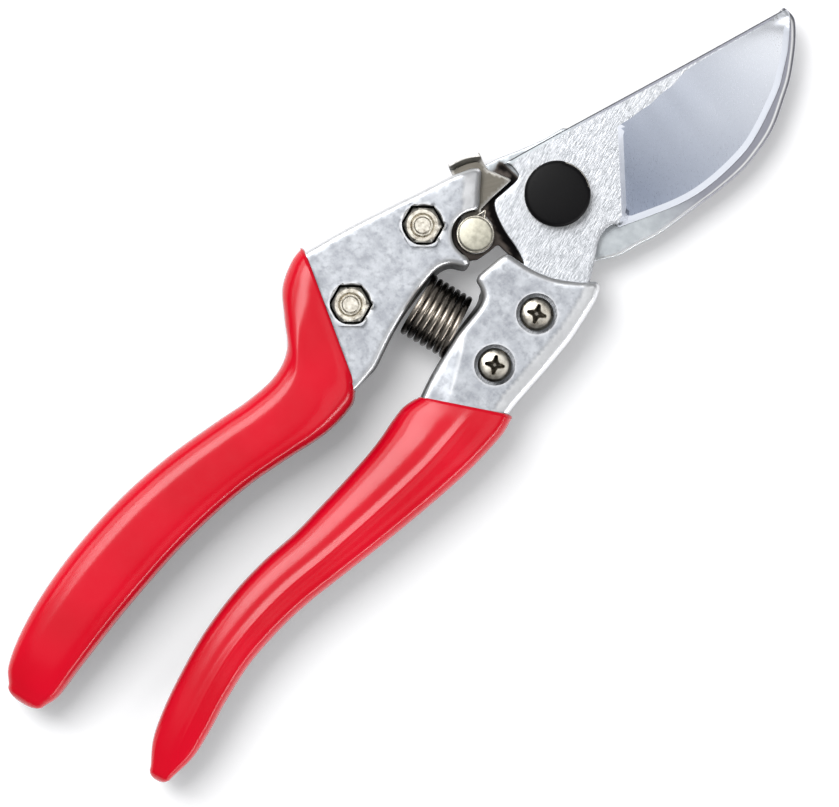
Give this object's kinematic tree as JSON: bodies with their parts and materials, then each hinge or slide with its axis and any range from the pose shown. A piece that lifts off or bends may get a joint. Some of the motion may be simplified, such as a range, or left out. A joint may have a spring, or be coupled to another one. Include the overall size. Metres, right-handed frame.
{
  "type": "bypass pruning shears",
  "caption": "Hand-held bypass pruning shears with a curved cutting blade, a hooked counter blade, red dipped grips, a coil spring and a thumb latch.",
  "frame": {"origin": "on the pivot axis, at the flat lower end face of the pivot bolt, in the plane the shears lie on", "axes": "+Z along the pivot axis, out of the cutting blade's side; +Y along the shears from the grips to the blade tips; +X towards the blade-side handle"},
  "size_m": [0.0543, 0.2061, 0.0174],
  "materials": {
    "blade_steel": "hard-chromed steel, satin with a polished ground face",
    "counter_steel": "grey satin chromed forged steel, greasy round the latch",
    "cast_aluminium": "die-cast, matte and slightly mottled with rubbed bright rims",
    "red_vinyl": "dipped glossy red vinyl",
    "black_plastic": "moulded, semi-matte",
    "nickel_plate": "warm nickel plate, lightly brushed",
    "spring_steel": "dark plated spring wire",
    "stainless_sheet": "stamped stainless sheet"
  },
  "bodies": {
    "hook_side": {"counter_blade": "counter_steel", "hook_handle_casting": "cast_aluminium", "hook_handle_grip": "red_vinyl", "hook_screw_front": "nickel_plate", "hook_screw_rear": "nickel_plate", "hook_nut_front": "nickel_plate", "hook_nut_rear": "nickel_plate", "pivot_bolt": "nickel_plate", "pivot_cap": "black_plastic", "pivot_collar": "nickel_plate", "pivot_washer": "nickel_plate", "pivot_nut": "nickel_plate", "latch_pin": "nickel_plate", "latch_pin_washer": "nickel_plate", "latch_spring": "spring_steel", "main_spring": "spring_steel"},
    "blade_side": {"cutting_blade": "blade_steel", "blade_handle_casting": "cast_aluminium", "blade_handle_grip": "red_vinyl", "blade_screw_front": "nickel_plate", "blade_screw_rear": "nickel_plate", "blade_nut_front": "nickel_plate", "blade_nut_rear": "nickel_plate"},
    "latch": {"latch_plate": "stainless_sheet"}
  },
  "joints": [
    {"name": "handle_pivot", "type": "hinge", "parent": "hook_side", "child": "blade_side", "pos_m": [0, 0, 0.0085], "axis": [0, 0, 1], "range_deg": [0, 23], "deforming": ["main_spring"]},
    {"name": "latch_turn", "type": "hinge", "parent": "hook_side", "child": "latch", "pos_m": [-0.00648, -0.01706, 0.0094], "axis": [0, 0, 1], "range_deg": [0, 30], "deforming": ["latch_spring"]}
  ],
  "couplings": [
    {"joint": "latch_turn", "follows": "handle_pivot", "ratio": 1.25}
  ]
}
